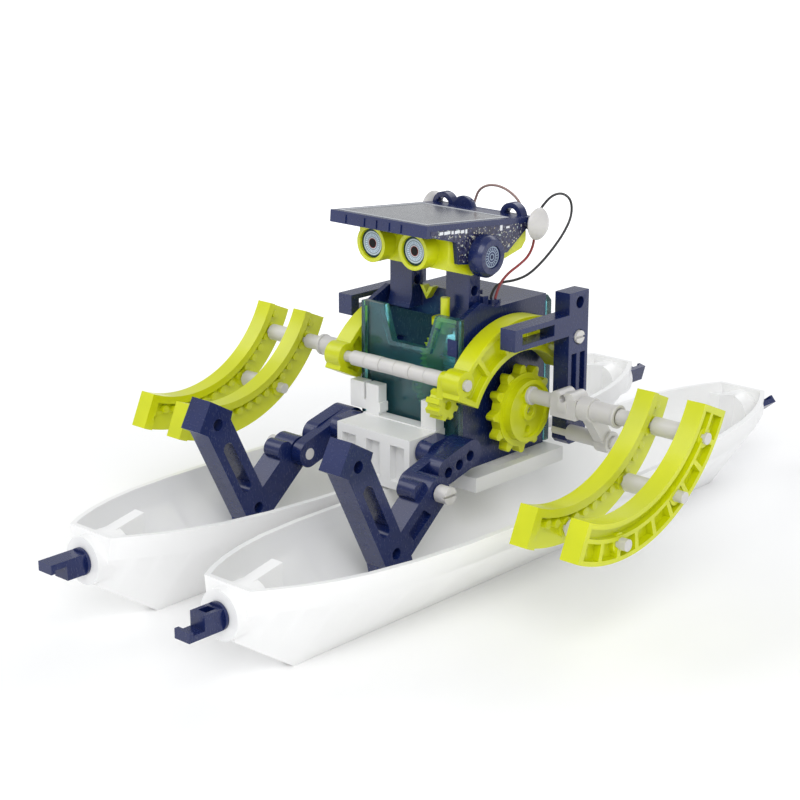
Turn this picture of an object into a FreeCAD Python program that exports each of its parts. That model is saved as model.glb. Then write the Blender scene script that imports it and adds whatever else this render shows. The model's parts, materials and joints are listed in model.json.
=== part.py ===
# Rowing robot kit on two pontoons, driven by a small solar motor. Millimetres, +Z up.
# The bow points along -Y, the robot's left side is +X, and the origin is on the ground
# under the middle of the hulls. Left-hand pieces are modelled and mirrored where they match.
import FreeCAD, Part
import math
import os
import re
from FreeCAD import Placement, Rotation, Vector

os.makedirs("parts", exist_ok=True)
doc = FreeCAD.newDocument("RowingRobotKit")

# ---------------------------------------------------------------- driving dimensions

SIZES = [
    ("hull_length", 250, "between the end faces of the bow and stern rings"),
    ("hull_pitch", 56, "between the two hull centre lines"),
    ("hull_beam", 50, "widest part of one hull"),
    ("hull_plan", 133, "half length at which the plan curve would close"),
    ("hull_wall", 1.6, "moulded wall"),
    ("rim_mid", 27.5, "rim height amidships"),
    ("rim_end", 30, "rim height at the ends"),
    ("rim_band", 6.5, "height of the upright band under the rim"),
    ("keel_flat", 4, "width of the flat keel"),
    ("stem_start", 100.7, "where the keel starts to rise"),
    ("stem_slope", 0.66, "rise of the stem per mm"),
    ("ring_dia", 14, "end ring"),
    ("ring_bore", 7.2, "bore of the end ring"),
    ("ring_height", 22, "height of the ring's axis"),
    ("clip_width", 5.6, "end clip block"),
    ("clip_reach", 6.4, "length of the clip's block"),
    ("hook_reach", 5.4, "length of the clip's hook"),
    ("box_width", 38.4, "gear chamber outside"),
    ("box_front", -19, "front opening of the gear chamber"),
    ("box_back", 20, "rear opening of the gear chamber"),
    ("box_floor", 32, "underside of the gear chamber"),
    ("box_roof", 80, "roof of the gear chamber"),
    ("box_wall", 1.8, "gear chamber wall"),
    ("cover_thick", 2.4, "front and rear covers"),
    ("axle_y", 2.8, "drive shaft"),
    ("axle_z", 47.8, "drive shaft"),
    ("shaft_dia", 3, "drive shaft diameter"),
    ("crank_throw", 5, "crank pin from the drive shaft"),
    ("crank_root", 11.4, "crank disc at the root of its teeth"),
    ("crank_tip", 13.8, "crank disc at the tip of its teeth"),
    ("crank_teeth", 12, "teeth on the crank disc"),
    ("crank_x", 21.6, "inner face of the crank disc"),
    ("gear_module", 0.5, "gear train"),
    ("wheel_teeth", 30, "large gears"),
    ("pinion_teeth", 10, "small gears"),
    ("motor_dia", 24, "solar motor can"),
    ("motor_length", 12.3, "solar motor can"),
    ("motor_x", 3.5, "front face of the motor can"),
    ("motor_z", 62.6, "motor shaft"),
    ("arc_inner", 39.5, "oar blade, concave edge"),
    ("arc_band", 11.5, "oar blade, depth of the band"),
    ("arc_thick", 6, "oar blade"),
    ("arc_y", -34.5, "centre of the oar's curve"),
    ("arc_z", 78.5, "centre of the oar's curve"),
    ("blade_inner_x", 67, "inboard face of the inner blade"),
    ("blade_outer_x", 84, "inboard face of the outer blade"),
    ("pin_dia", 3.4, "white pins through the oar"),
    ("shoulder_y", 0, "centre of the shoulder arc"),
    ("shoulder_z", 44, "centre of the shoulder arc"),
    ("shoulder_inner", 23, "shoulder arc"),
    ("shoulder_outer", 33.3, "shoulder arc"),
    ("shoulder_x", 20.7, "inner face of the shoulder arc"),
    ("shoulder_thick", 6.2, "shoulder arc"),
    ("bar_y", -26.4, "front bar"),
    ("bar_z", 62, "front bar"),
    ("bracket_x", 29.9, "inner face of the cross bracket"),
    ("bracket_thick", 5.6, "cross bracket"),
    ("rocker_y", 12.2, "peg that the oar's link rocks on"),
    ("rocker_z", 40.7, "peg that the oar's link rocks on"),
    ("hip_y", -32, "hip pin"),
    ("hip_z", 41, "hip pin"),
    ("knee_y", -44, "knee pin"),
    ("knee_z", 35, "knee pin"),
    ("foot_x", 24, "inner face of the foot"),
    ("foot_thick", 8, "foot"),
    ("tray_width", 38, "solar tray"),
    ("tray_length", 45.8, "solar tray"),
    ("tray_tilt", 4.9, "nose-up tilt of the tray in degrees"),
    ("eye_x", 8.3, "eye tubes from the middle"),
    ("eye_z", 99.2, "eye tubes"),
    ("eye_dia", 11.2, "eye tubes"),
    ("ear_y", -11.2, "ear disc"),
    ("ear_z", 96.9, "ear disc"),
    ("ear_dia", 12.6, "ear disc"),
    ("wire_dia", 0.8, "insulated wire"),
    ("run_gap", 0.07, "radial clearance of every running fit"),
]

sheet = doc.addObject("Spreadsheet::Sheet", "Sizes")
for row, (alias, value, meaning) in enumerate(SIZES, start=1):
    sheet.set(f"A{row}", str(value))
    sheet.set(f"B{row}", meaning)
    sheet.setAlias(f"A{row}", alias)
doc.recompute()


def size(alias):
    """The value of one cell of the sheet."""
    return float(sheet.get(alias))


# ---------------------------------------------------------------- helpers

ALIAS = re.compile(r"\b([a-z]+(?:_[a-z]+)+)\b")
ALONG = {
    "x": Rotation(Vector(0, 1, 0), 90),
    "y": Rotation(Vector(1, 0, 0), -90),
    "z": Rotation(),
}
kept = []


def bind(item, prop, value):
    """Bind a property to a number or to an expression written with the sheet's aliases."""
    item.setExpression(prop, ALIAS.sub(r"Sizes.\1", str(value)))


def place(item, at, turn=Rotation()):
    item.Placement = Placement(Vector(), turn)
    for axis, value in zip("xyz", at):
        bind(item, f"Placement.Base.{axis}", value)


def cylinder(radius, length, at, along="x"):
    item = doc.addObject("Part::Cylinder", "Cylinder")
    bind(item, "Radius", radius)
    bind(item, "Height", length)
    place(item, at, ALONG[along])
    return item


def block(dims, at, turn=Rotation()):
    item = doc.addObject("Part::Box", "Block")
    for prop, value in zip(("Length", "Width", "Height"), dims):
        bind(item, prop, value)
    place(item, at, turn)
    return item


def group(kind, name, items):
    item = doc.addObject(kind, name)
    if kind == "Part::Compound":
        item.Links = items
    else:
        item.Shapes = items
    return item


def fuse(name, items):
    return group("Part::MultiFuse", name, items)


def cut(name, base, tools):
    item = doc.addObject("Part::Cut", name)
    item.Base = base
    item.Tool = tools[0] if len(tools) == 1 else fuse(name + "_tools", tools)
    return item


def mirror(source, name):
    item = doc.addObject("Part::Mirroring", name)
    item.Source = source
    item.Normal = Vector(1, 0, 0)
    return item


def keep(item, label):
    """Name a finished sub-part and list it for export."""
    item.Label = label
    kept.append(item)
    return item


def tube(outer, inner, length, at, along="x"):
    """A sleeve: outer and inner radius, from a start point along an axis."""
    start = list(at)
    index = "xyz".index(along)
    start[index] = f"{at[index]} - 1"
    return cut("Sleeve", cylinder(outer, length, at, along),
               [cylinder(inner, f"{length} + 2", start, along)])


# Sketches lie in the YZ plane: their first axis is Y, their second Z, and they face +X.

def closed(points):
    """Straight edges round a closed outline."""
    loop = points + points[:1]
    return [Part.LineSegment(Vector(*a, 0), Vector(*b, 0)) for a, b in zip(loop, loop[1:])]


def rectangle(low_u, low_v, high_u, high_v):
    return closed([(low_u, low_v), (high_u, low_v), (high_u, high_v), (low_u, high_v)])


def circle(u, v, radius):
    return [Part.Circle(Vector(u, v, 0), Vector(0, 0, 1), radius)]


def polar(centre, radius, degrees):
    angle = math.radians(degrees)
    return (centre[0] + radius * math.cos(angle), centre[1] + radius * math.sin(angle))


def arc(centre, radius, start, end):
    whole = Part.Circle(Vector(*centre, 0), Vector(0, 0, 1), radius)
    return Part.ArcOfCircle(whole, math.radians(start), math.radians(end))


def sector(centre, inner, outer, start, end):
    """A piece of a ring between two angles in degrees."""
    def end_line(degrees):
        return Part.LineSegment(Vector(*polar(centre, inner, degrees), 0),
                                Vector(*polar(centre, outer, degrees), 0))
    return [arc(centre, outer, start, end), end_line(start),
            arc(centre, inner, start, end), end_line(end)]


def capsule(p, q, radius):
    """A round-ended bar from p to q."""
    heading = math.degrees(math.atan2(q[1] - p[1], q[0] - p[0]))
    sides = [Part.LineSegment(Vector(*polar(p, radius, heading + side), 0),
                              Vector(*polar(q, radius, heading + side), 0)) for side in (90, -90)]
    return [arc(p, radius, heading + 90, heading + 270), sides[0],
            arc(q, radius, heading - 90, heading + 90), sides[1]]


def body(name):
    return doc.addObject("PartDesign::Body", name)


def sketch(owner, geometry, offset, role="YZ_Plane"):
    """A sketch on one of the body's own planes, moved along the plane's normal."""
    drawing = owner.newObject("Sketcher::SketchObject", "Sketch")
    planes = {feature.Role: feature for feature in owner.Origin.OriginFeatures}
    drawing.AttachmentSupport = (planes[role], [""])
    drawing.MapMode = "FlatFace"
    bind(drawing, "AttachmentOffset.Base.z", offset)
    drawing.addGeometry(geometry, False)
    return drawing


def pad(owner, geometry, offset, length, role="YZ_Plane"):
    feature = owner.newObject("PartDesign::Pad", "Pad")
    feature.Profile = sketch(owner, geometry, offset, role)
    bind(feature, "Length", length)
    return feature


def pocket(owner, geometry, offset, depth, towards=-1, role="YZ_Plane"):
    """Cut from a plane towards -X, or towards +X when towards is 1."""
    feature = owner.newObject("PartDesign::Pocket", "Pocket")
    feature.Profile = sketch(owner, geometry, offset, role)
    feature.Reversed = towards > 0
    bind(feature, "Length", depth)
    return feature


# ---------------------------------------------------------------- hulls and end clips

def hull_section(y, inset):
    """One cross-section of a hull: rim, upright band, V bottom and flat keel."""
    along = abs(y)
    half = size("hull_beam") / 2 * (1 - (along / size("hull_plan")) ** 5)
    sheer = max(0, (along - 30) / 90) ** 1.5
    rim = size("rim_mid") + (size("rim_end") - size("rim_mid")) * min(1, sheer)
    keel = max(0, along - size("stem_start")) * size("stem_slope")
    crease = rim - size("rim_band")
    flat = size("keel_flat") / 2
    wall = size("hull_wall")
    if inset:
        side = [(half - wall, rim + 1), (half - wall - 1.4, crease + 0.4), (flat - 0.6, keel + 2)]
    else:
        side = [(half, rim), (half - 0.8, crease), (flat, keel)]
    left = [(-x, z) for x, z in side]
    ring = left + side[::-1]
    return Part.makePolygon([Vector(x, y, z) for x, z in ring + ring[:1]])


def hull_skin(end, inset):
    """The hull's outside, or its hollow, as a ruled loft through its sections."""
    stations = [0, 30, 55, 75, 90, size("stem_start"), 109, 116, end]
    places = [-y for y in stations[:0:-1]] + stations
    return Part.makeLoft([hull_section(y, inset) for y in places], True, True)


def make_hull(side, label):
    end = 122
    half_length = size("hull_length") / 2
    ring_z = size("ring_height")
    shape = hull_skin(end, False).cut(hull_skin(end - size("hull_wall"), True))
    for sign in (-1, 1):
        ring = Part.makeCylinder(size("ring_dia") / 2, half_length - 113,
                                 Vector(0, sign * 113, ring_z), Vector(0, sign, 0))
        fin = [(116, 15), (116, 28.5), (104, 31), (104, 3.2)]
        corners = [Vector(-2, sign * y, z) for y, z in fin + fin[:1]]
        web = Part.Face(Part.makePolygon(corners)).extrude(Vector(4, 0, 0))
        shape = shape.fuse([ring, web])
    for sign in (-1, 1):
        bore = Part.makeCylinder(size("ring_bore") / 2, 12,
                                 Vector(0, sign * 116.5, ring_z), Vector(0, sign, 0))
        shape = shape.cut(bore)
    item = doc.addObject("Part::Feature", label)
    item.Shape = shape
    item.Placement = Placement(Vector(side * size("hull_pitch") / 2, 0, 0), Rotation())
    return keep(item, label)


def make_clip(label, side, end, turn):
    """Turning clip in a hull's end ring: stub, collar, block and a thin hook."""
    half = "clip_width / 2"
    stub = cylinder("ring_bore / 2 - run_gap", 7.2, (0, -0.4, 0), "y")
    collar = cylinder(4, 0.9, (0, -1.1, 0), "y")
    solid = block(("clip_width", "clip_reach", 6), (f"-{half}", "-1 - clip_reach", -3))
    hook = block(("clip_width", "hook_reach + 1", 1.8),
                 (f"-{half}", "-1 - clip_reach - hook_reach", -3))
    nub = block(("clip_width", 1.4, 1.1), (f"-{half}", "-1 - clip_reach - hook_reach", -1.3))
    window = block((3, 3.4, 2.2), (-1.5, -5.8, 1.4))
    clip = cut(label, fuse(label + "_solid", [stub, collar, solid, hook, nub]), [window])
    facing = Rotation(Vector(0, 0, 1), 180 if end > 0 else 0)
    turning = Rotation(Vector(0, 1, 0), turn)
    place(clip, (f"{side} * hull_pitch / 2", f"{end} * hull_length / 2", "ring_height"),
          facing.multiply(turning))
    return keep(clip, label)


# ---------------------------------------------------------------- gear chamber

def make_chamber():
    shell = body("ChamberShell")
    half = size("box_width") / 2
    front, back = size("box_front"), size("box_back")
    floor, roof = size("box_floor"), size("box_roof")
    wall = size("box_wall")
    outline = closed([(front, floor), (back, floor), (back, roof), (-4, roof), (-11, roof + 2.5),
                      (front, roof - 1)])
    pad(shell, outline, "-box_width / 2", "box_width")
    hollow = closed([(front - 1, floor + 2), (back + 1, floor + 2), (back + 1, roof - 4),
                     (-5, roof - 4), (-5, roof + 9), (front - 1, roof + 9)])
    pocket(shell, hollow, "box_width / 2 - box_wall", "box_width - 2 * box_wall")
    inner = half - wall
    posts = [cylinder(2.4, 8, (x, back - 8, z), "y") for x in (-inner + 2.2, inner - 2.2)
             for z in (floor + 4, roof - 6.2)]
    motor_ring = cylinder("motor_dia / 2 + 1.2", inner - 13, (13.2, "axle_y", "motor_z"))
    bosses = [cylinder(3, 3.2, (-inner - 0.2, y, z)) for y, z in spindle_places()]
    gland = cylinder(2.4, 3, (14, 0.7, roof - 2), "z")
    solid = fuse("ChamberSolid", [shell, motor_ring, gland] + posts + bosses)
    screw_holes = [cylinder(1.1, 8, (x, back - 6.5, z), "y") for x in (-inner + 2.2, inner - 2.2)
                   for z in (floor + 4, roof - 6.2)]
    shaft_hole = cylinder(3, "box_width + 2", ("-box_width / 2 - 1", "axle_y", "axle_z"))
    motor_bore = cylinder("motor_dia / 2", 5.4, (12, "axle_y", "motor_z"))
    spindle_holes = [cylinder(1, 4.2, (-inner - 1, y, z)) for y, z in spindle_places()]
    tools = screw_holes + spindle_holes + [shaft_hole, motor_bore]
    return keep(cut("Chamber", solid, tools), "gear_chamber")


def make_covers():
    """Front cover with its trapezoid notch, the plain rear cover and its screws."""
    low, high = size("box_floor") + 0.5, size("box_roof") - 1
    half = size("box_width") / 2 + 0.4
    edge = 1.5
    front = body("FrontCover")
    notch = [(10.4, high), (6.8, 68.4), (-6.8, 68.4), (-10.4, high)]
    outline = closed([(-half, low), (half, low), (half, high)] + notch + [(-half, high)])
    # A sketch on the XZ plane faces -Y, so its offset is measured towards the front.
    pad(front, outline, "-box_front", "cover_thick", "XZ_Plane")
    inset = [(-half + edge, low + edge), (half - edge, low + edge), (half - edge, high - edge),
             (12.4, high - edge), (8.3, 66.9), (-8.3, 66.9), (-12.4, high - edge),
             (-half + edge, high - edge)]
    pocket(front, closed(inset), "-box_front + cover_thick", 1.1, -1, "XZ_Plane")
    keep(front, "front_cover")
    rear = body("RearCoverPlate")
    outline = closed([(-half, low), (half, low), (half, high - 1.5), (half - 1.5, high),
                      (-half + 1.5, high), (-half, high - 1.5)])
    pad(rear, outline, "-box_back - cover_thick", "cover_thick", "XZ_Plane")
    screw_holes = [cylinder(1.3, 6, (x, "box_back - 1", z), "y") for x, z in screw_places()]
    keep(cut("RearCover", rear, screw_holes), "rear_cover")
    screws = []
    for x, z in screw_places():
        head = cylinder(2, 1.3, (x, "box_back + cover_thick", z), "y")
        shank = cylinder(1.1, "cover_thick + 5", (x, "box_back - 5", z), "y")
        cross = block((2.6, 0.6, 0.5), (x - 1.3, "box_back + cover_thick + 0.8", z - 0.25))
        screws.append(cut("Screw", fuse("ScrewSolid", [head, shank]), [cross]))
    keep(group("Part::Compound", "Screws", screws), "cover_screws")


def screw_places():
    x = size("box_width") / 2 - size("box_wall") - 2.2
    return [(s * x, z) for s in (-1, 1) for z in (size("box_floor") + 4, size("box_roof") - 6.2)]


def make_bushes():
    bushes = [tube(3, f"shaft_dia / 2 + run_gap", 1.8, ("-box_width / 2", "axle_y", "axle_z")),
              tube(3, f"shaft_dia / 2 + run_gap", 1.8,
                   ("box_width / 2 - box_wall", "axle_y", "axle_z"))]
    flanges = [tube(4.4, "shaft_dia / 2 + run_gap", 0.9,
                    (x, "axle_y", "axle_z")) for x in ("-box_width / 2 - 0.9", "box_width / 2")]
    pairs = [fuse("Bush", [bush, flange]) for bush, flange in zip(bushes, flanges)]
    return keep(group("Part::Compound", "Bushes", pairs), "shaft_bushes")


# ---------------------------------------------------------------- motor and gear train

def mesh_distance():
    """Centre distance of a large gear and a pinion."""
    return size("gear_module") * (size("wheel_teeth") + size("pinion_teeth")) / 2


def spindle_places():
    """The two fixed spindles: gear B meshes with the shaft's gear, gear A with B and the motor."""
    drive = Vector(size("axle_y"), size("axle_z"), 0)
    motor = Vector(size("axle_y"), size("motor_z"), 0)
    gear_b = drive + Vector(*polar((0, 0), mesh_distance(), 150), 0)
    half = (motor - gear_b) * 0.5
    rise = math.sqrt(mesh_distance() ** 2 - half.Length ** 2)
    side = Vector(-half.y, half.x, 0).normalize()
    gear_a = gear_b + half + side * rise
    return [(gear_a.x, gear_a.y), (gear_b.x, gear_b.y)]


def gear_outline(centre, teeth, phase):
    """Straight-flanked teeth with generous backlash, one of them at the phase angle."""
    module = size("gear_module")
    pitch = module * teeth / 2
    root, tip = pitch - 1.2 * module, pitch + 0.9 * module
    step = 360 / teeth
    points = []
    for tooth in range(teeth):
        middle = phase + tooth * step
        for radius, share in ((root, -0.27), (tip, -0.1), (tip, 0.1), (root, 0.27)):
            points.append(polar(centre, radius, middle + share * step))
    return closed(points)


def meshing_phase(centre, phase, teeth, other_centre, other_teeth):
    """Phase of the other gear, so that its gap faces this gear's tooth."""
    line = math.degrees(math.atan2(other_centre[1] - centre[1], other_centre[0] - centre[0]))
    share = (line - phase) * teeth / 360
    return line + 180 - (0.5 - share) * 360 / other_teeth


def make_gear_train():
    wheel, pinion = int(size("wheel_teeth")), int(size("pinion_teeth"))
    drive = (size("axle_y"), size("axle_z"))
    motor = (size("axle_y"), size("motor_z"))
    gear_a, gear_b = spindle_places()
    spindle_bore = 1 + size("run_gap")
    final = body("FinalGear")
    pad(final, gear_outline(drive, wheel, 0) + circle(*drive, size("shaft_dia") / 2), -7, 2.4)
    pad(final, circle(*drive, 3.2) + circle(*drive, size("shaft_dia") / 2), -9.5, 2.6)
    keep(final, "final_gear")
    phase_b = meshing_phase(drive, 0, wheel, gear_b, pinion)
    phase_a = meshing_phase(gear_b, 0, wheel, gear_a, pinion)
    phase_m = meshing_phase(gear_a, 0, wheel, motor, pinion)
    layers = [("compound_gear_b", gear_b, phase_b, -3.8, -7.4, 3.7),
              ("compound_gear_a", gear_a, phase_a, -0.8, -4.2, 3.5)]
    for label, centre, phase, wheel_x, pinion_x, pinion_width in layers:
        gear = body(label)
        pad(gear, gear_outline(centre, wheel, 0) + circle(*centre, spindle_bore), wheel_x, 2.2)
        pad(gear, gear_outline(centre, pinion, phase) + circle(*centre, spindle_bore),
            pinion_x, pinion_width)
        keep(gear, label)
    rotor = body("MotorPinion")
    pad(rotor, gear_outline(motor, pinion, phase_m), -1, 2.6)
    pad(rotor, circle(*motor, 0.98), 1.4, 8)
    keep(rotor, "motor_pinion")
    can = fuse("MotorCan", [cylinder("motor_dia / 2", "motor_length", ("motor_x", *motor)),
                            cylinder(3, 1, ("motor_x - 0.9", *motor))])
    shaft_hole = cylinder("0.98 + run_gap", 8, ("motor_x - 1", *motor))
    terminals = [block((1.6, 3, 0.6), ("motor_x + motor_length - 0.2", y, "motor_z + 6"))
                 for y in (-3, 5)]
    keep(cut("Motor", fuse("MotorSolid", [can] + terminals), [shaft_hole]), "solar_motor")
    start = -size("box_width") / 2 + 0.8
    spindles = [cylinder(1, -start + end, (start, y, z))
                for (y, z), end in ((gear_a, 1.9), (gear_b, -1.2))]
    keep(group("Part::Compound", "Spindles", spindles), "gear_spindles")
    shaft = cylinder("shaft_dia / 2", "2 * crank_x + 9", ("-crank_x - 4.5", "axle_y", "axle_z"))
    keep(shaft, "drive_shaft")


# ---------------------------------------------------------------- cranks and oars

def make_crank(label):
    """Toothed disc with a raised drum, a shaft hole, the crank pin's hole and a dimple."""
    disc = body(label)
    axle = (size("axle_y"), size("axle_z"))
    pin = (axle[0], axle[1] + size("crank_throw"))
    pad(disc, circle(0, 0, size("crank_root")), 0, 3.4)
    root, tip = size("crank_root"), size("crank_tip")
    tooth = [arc((0, tip - 1.2), 1.2, 0, 180)]
    foot = root - 0.6
    tooth += [Part.LineSegment(Vector(1.2, tip - 1.2, 0), Vector(1.9, foot, 0)),
              Part.LineSegment(Vector(1.9, foot, 0), Vector(-1.9, foot, 0)),
              Part.LineSegment(Vector(-1.9, foot, 0), Vector(-1.2, tip - 1.2, 0))]
    first = pad(disc, tooth, 0, 3)
    pattern = disc.newObject("PartDesign::PolarPattern", "Teeth")
    pattern.Originals = [first]
    pattern.Axis = (first.Profile[0], ["N_Axis"])
    pattern.Angle = 360
    bind(pattern, "Occurrences", "crank_teeth")
    disc.Tip = pattern
    pad(disc, circle(0, 0, 9.6), 3.2, 2.8)
    pocket(disc, circle(0, 0, 8.2), 6, 1)
    pad(disc, circle(0, 0, 3), 4.9, 1.1)
    pad(disc, circle(0, size("crank_throw"), 2.9), 4.9, 1.1)
    pocket(disc, circle(0, 0, size("shaft_dia") / 2), 6, 6)
    pocket(disc, circle(0, size("crank_throw"), 1.8), 6, 4)
    pocket(disc, circle(0, -5.8, 1.2), 5, 1.5)
    place(disc, ("crank_x", "axle_y", "axle_z"))
    return keep(disc, label)


def make_crank_pins():
    """White crank pins. Each one's free end faces its oar's connector across a small gap."""
    at_z = "axle_z + crank_throw"
    shoulder = cylinder(2.2, 9.7, ("crank_x + 6", "axle_y", at_z))
    core = cylinder(1.8, 6, ("crank_x + 2", "axle_y", at_z))
    ring = cylinder(2.8, 1, ("crank_x + 6", "axle_y", at_z))
    left = fuse("CrankPinLeft", [shoulder, core, ring])
    keep(group("Part::Compound", "CrankPins", [left, mirror(left, "CrankPinRight")]), "crank_pins")


def oar_pin_places():
    """The oar's three cross pins; the first is the oar's own shaft, in line with the crank pin."""
    centre = (size("arc_y"), size("arc_z"))
    shaft = (size("axle_y"), size("axle_z") + size("crank_throw"))
    return [shaft, polar(centre, 46.5, -58), polar(centre, 46, -92)]


def make_connector():
    at_z = "axle_z + crank_throw"
    core = block((9.4, 6.8, 6.2), (37.6, "axle_y - 3.4", f"{at_z} - 3.4"))
    humps = [cylinder(2.3, 6.8, (x, "axle_y - 3.4", f"{at_z} + 2.3"), "y") for x in (39.9, 44.3)]
    waist = cylinder(4, 3.2, (40.6, "axle_y", at_z))
    shaft_seat = cylinder("pin_dia / 2", 4, (44.6, "axle_y", at_z))
    cross_hole = cylinder(1.1, 12, (42.1, "axle_y - 6", f"{at_z} + 2.5"), "y")
    left = cut("ConnectorLeft", fuse("ConnectorSolid", [core, waist] + humps),
               [shaft_seat, cross_hole])
    keep(left, "oar_connector_left")
    keep(mirror(left, "ConnectorRight"), "oar_connector_right")


def make_link_arm():
    """Slanted link that carries the oar's shaft and rocks on the peg in the bracket's foot."""
    arm = body("LinkArmLeft")
    top = (size("axle_y"), size("axle_z") + size("crank_throw"))
    low = rocker_place()
    pad(arm, capsule(top, low, 2.4), 47.2, 3.4)
    pad(arm, circle(*top, 3.7), 47.2, 4.2)
    pad(arm, circle(*low, 3.4), 46.9, 4.6)
    pocket(arm, circle(*top, size("pin_dia") / 2), 52, 6)
    pocket(arm, circle(*low, 1.9 + size("run_gap")), 52, 6)
    keep(arm, "link_arm_left")
    keep(mirror(arm, "LinkArmRight"), "link_arm_right")


def make_oar_sleeves():
    at = ("axle_y", "axle_z + crank_throw")
    bore = "pin_dia / 2"
    wide = tube(3.1, bore, 7.8, (51.4, *at))
    lip = tube(3.5, bore, 1.2, (59.2, *at))
    narrow = tube(2.4, bore, 6.6, (60.4, *at))
    left = group("Part::Compound", "OarSleevesLeft", [fuse("WideSleeve", [wide, lip]), narrow])
    keep(left, "oar_sleeves_left")
    keep(mirror(left, "OarSleevesRight"), "oar_sleeves_right")


def make_blade(label, inner_x, bumps):
    """One curved oar blade. Studs stand on the face that bumps names, ribs on the other."""
    blade = body(label)
    centre = (size("arc_y"), size("arc_z"))
    inner, thick = size("arc_inner"), size("arc_thick")
    outer = inner + size("arc_band")
    first, last = -114, -23
    pad(blade, sector(centre, inner, outer, first, last), inner_x, "arc_thick")
    stud_face = inner_x + thick if bumps > 0 else inner_x
    rib_face = inner_x if bumps > 0 else inner_x + thick
    pocket(blade, sector(centre, inner + 2.4, outer + 1, first + 4, last + 5), stud_face, 2.4, -bumps)
    stud_base = stud_face - bumps * 2.6
    low = stud_base if bumps > 0 else stud_base - 2
    studs = 15
    for number in range(studs):
        angle = first + 10 + number * (last - first - 14) / (studs - 1)
        pad(blade, circle(*polar(centre, inner + 4.4, angle), 1.25), low, 2)
    cells = 9
    span = (last - first - 3) / cells
    windows = []
    for number in range(cells):
        start = first + 1.5 + number * span
        windows += sector(centre, inner + 5.4, outer - 1.3, start + 0.9, start + span - 0.9)
    pocket(blade, windows, rib_face, 2.2, bumps)
    channel = sector(centre, inner + 1.5, inner + 4.2, first + 2.5, last - 2.5)
    pocket(blade, channel, rib_face, 1.8, bumps)
    for place_yz in oar_pin_places():
        low_face = inner_x + (0.6 if bumps > 0 else 1.2)
        pad(blade, circle(*place_yz, 2.9), low_face, 4.2)
    holes = []
    for place_yz in oar_pin_places():
        holes += circle(*place_yz, size("pin_dia") / 2)
    holes += circle(*polar(centre, inner + 7.5, -109), 1.3)
    pocket(blade, holes, inner_x + thick + 1, thick + 2)
    return keep(blade, label)


def make_oar_pins():
    shaft, middle, low = oar_pin_places()
    start = size("blade_inner_x")
    end = size("blade_outer_x") + size("arc_thick") + 2.4
    radius = "pin_dia / 2"
    pins = [cylinder(radius, end - 1.6 - 44.6, (44.6, *shaft))]
    for spot in (middle, low):
        pins.append(cylinder(radius, end - start + 1.2, (start - 1.2, *spot)))
    spacers = [tube(2.7, radius, size("blade_outer_x") - start - size("arc_thick"),
                    (start + size("arc_thick"), *spot)) for spot in (shaft, middle, low)]
    left = group("Part::Compound", "OarPinsLeft", [fuse("OarPin", [pin, spacer])
                                                   for pin, spacer in zip(pins, spacers)])
    keep(left, "oar_pins_left")
    keep(mirror(left, "OarPinsRight"), "oar_pins_right")


# ---------------------------------------------------------------- shoulder frame

def bracket_pin_place():
    return (15.5, 70)


def rocker_place():
    return (size("rocker_y"), size("rocker_z"))


def make_shoulder():
    """Yellow curved arm with flanged edges, hollow web pockets and a front lug for the bar."""
    arm = body("ShoulderLeft")
    centre = (size("shoulder_y"), size("shoulder_z"))
    inner, outer = size("shoulder_inner"), size("shoulder_outer")
    face = "shoulder_x + shoulder_thick"
    pad(arm, sector(centre, inner, outer, 38, 155), "shoulder_x", "shoulder_thick")
    lug = (size("bar_y"), size("bar_z"))
    pad(arm, circle(*lug, 4), "shoulder_x", "shoulder_thick")
    cells = 5
    span = 113 / cells
    for number in range(cells):
        start = 40 + number * span
        window = sector(centre, inner + 1.8, outer - 1.8, start + 1.6, start + span - 1.6)
        pocket(arm, window, face, 2.4)
        pocket(arm, window, "shoulder_x", 2.4, 1)
    pad(arm, circle(*bracket_pin_place(), 4), "shoulder_x", "shoulder_thick")
    pad(arm, circle(*lug, 3.6), "shoulder_x", "shoulder_thick")
    holes = circle(*bracket_pin_place(), 1.5) + circle(*lug, size("pin_dia") / 2)
    pocket(arm, holes, f"{face} + 1", 12)
    keep(arm, "shoulder_arc_left")
    keep(mirror(arm, "ShoulderRight"), "shoulder_arc_right")


def make_front_bar():
    at = ("bar_y", "bar_z")
    keep(cylinder("pin_dia / 2", 55.4, (-27.7, *at)), "front_bar")
    count = 6
    length = 6
    rings = [tube(2.3 + 0.08 * (number % 2), "pin_dia / 2", length - 0.15,
                  (-length * count / 2 + number * length, *at)) for number in range(count)]
    keep(group("Part::Compound", "BarRings", rings), "bar_sleeves")
    hub = body("HandHub")
    centre = (size("bar_y") - 0.6, size("bar_z") - 7.2)
    lug = (size("bar_y"), size("bar_z"))
    teeth = 8
    outline = []
    for tooth in range(teeth):
        middle = 20 + tooth * 360 / teeth
        for radius, shift in ((3.6, -16), (4.7, -9), (4.7, 9), (3.6, 16)):
            outline.append(polar(centre, radius, middle + shift))
    pad(hub, closed(outline), 15.6, 5)
    pad(hub, capsule(centre, lug, 2.7), 18.1, 2.5)
    pocket(hub, circle(*lug, size("pin_dia") / 2), 22, 5)
    pocket(hub, circle(*centre, 1.4), 22, 3)
    keep(hub, "hand_hub")


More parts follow.
